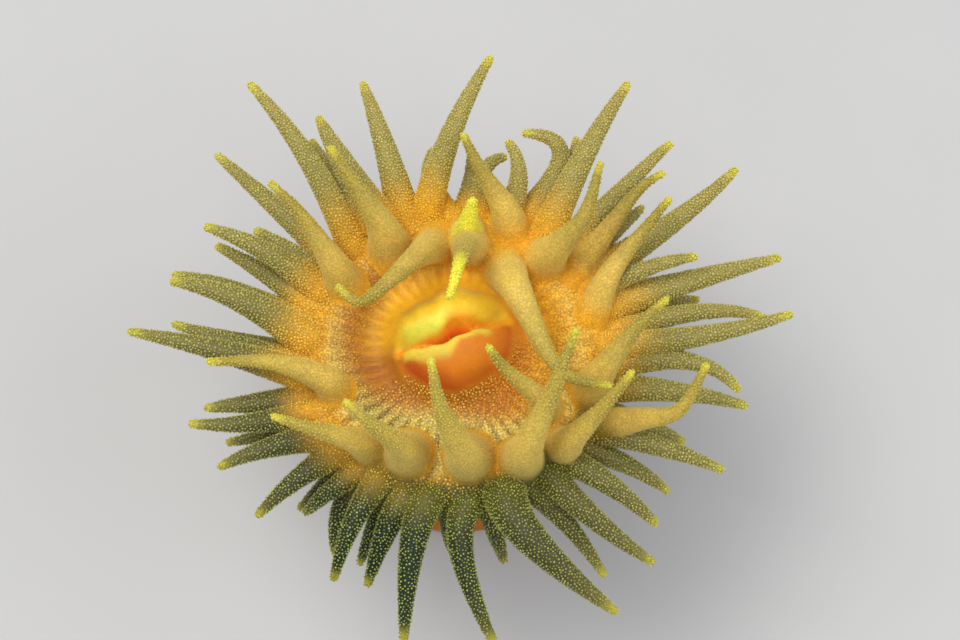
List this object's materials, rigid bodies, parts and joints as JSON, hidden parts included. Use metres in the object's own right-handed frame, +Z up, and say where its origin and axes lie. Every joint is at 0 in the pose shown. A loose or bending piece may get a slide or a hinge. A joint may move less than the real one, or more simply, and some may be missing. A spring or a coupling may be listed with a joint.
{
  "type": "sunset cup coral",
  "caption": "Solitary cup coral polyp, fully expanded: ribbed column on a flat foot, oral disc with a slit mouth, and a crown of tapering warty tentacles.",
  "frame": {"origin": "middle of the flat foot, on the surface it stands on", "axes": "+Z up along the polyp's axis and out of the mouth, +X towards the right end of the mouth's slit, +Y towards the upper lip"},
  "size_m": [0.0568, 0.0501, 0.0482],
  "materials": {
    "column": "moist matt tissue",
    "oral_disc": "moist satin tissue",
    "lips": "moist satin tissue",
    "tentacle": "moist translucent tissue",
    "tentacle_end": "moist translucent tissue"
  },
  "bodies": {
    "root": {"column_lower": "column", "column_upper": "column", "foot": "column", "lip_lower": "lips", "lip_upper": "lips", "margin_01": "tentacle", "margin_02": "tentacle", "margin_03": "tentacle", "margin_04": "tentacle", "margin_05": "tentacle", "margin_06": "tentacle", "margin_07": "tentacle", "margin_08": "tentacle", "margin_09": "tentacle", "margin_10": "tentacle", "margin_11": "tentacle", "margin_12": "tentacle", "margin_13": "tentacle", "margin_14": "tentacle", "margin_15": "tentacle", "margin_16": "tentacle", "margin_17": "tentacle", "margin_18": "tentacle", "oral_disc": "oral_disc", "tentacle_01_base": "tentacle", "tentacle_01_end": "tentacle_end", "tentacle_02_base": "tentacle", "tentacle_02_end": "tentacle_end", "tentacle_03_base": "tentacle", "tentacle_03_end": "tentacle_end", "tentacle_04_base": "tentacle", "tentacle_04_end": "tentacle_end", "tentacle_05_base": "tentacle", "tentacle_05_end": "tentacle_end", "tentacle_06_base": "tentacle", "tentacle_06_end": "tentacle_end", "tentacle_07_base": "tentacle", "tentacle_07_end": "tentacle_end", "tentacle_08_base": "tentacle", "tentacle_08_end": "tentacle_end", "tentacle_09_base": "tentacle", "tentacle_09_end": "tentacle_end", "tentacle_10_base": "tentacle", "tentacle_10_end": "tentacle_end", "tentacle_11_base": "tentacle", "tentacle_11_end": "tentacle_end", "tentacle_12_base": "tentacle", "tentacle_12_end": "tentacle_end", "tentacle_13_base": "tentacle", "tentacle_13_end": "tentacle_end", "tentacle_14_base": "tentacle", "tentacle_14_end": "tentacle_end", "tentacle_15_base": "tentacle", "tentacle_15_end": "tentacle_end", "tentacle_16_base": "tentacle", "tentacle_16_end": "tentacle_end", "tentacle_17": "tentacle", "tentacle_18": "tentacle", "tentacle_19": "tentacle"}
  },
  "joints": []
}
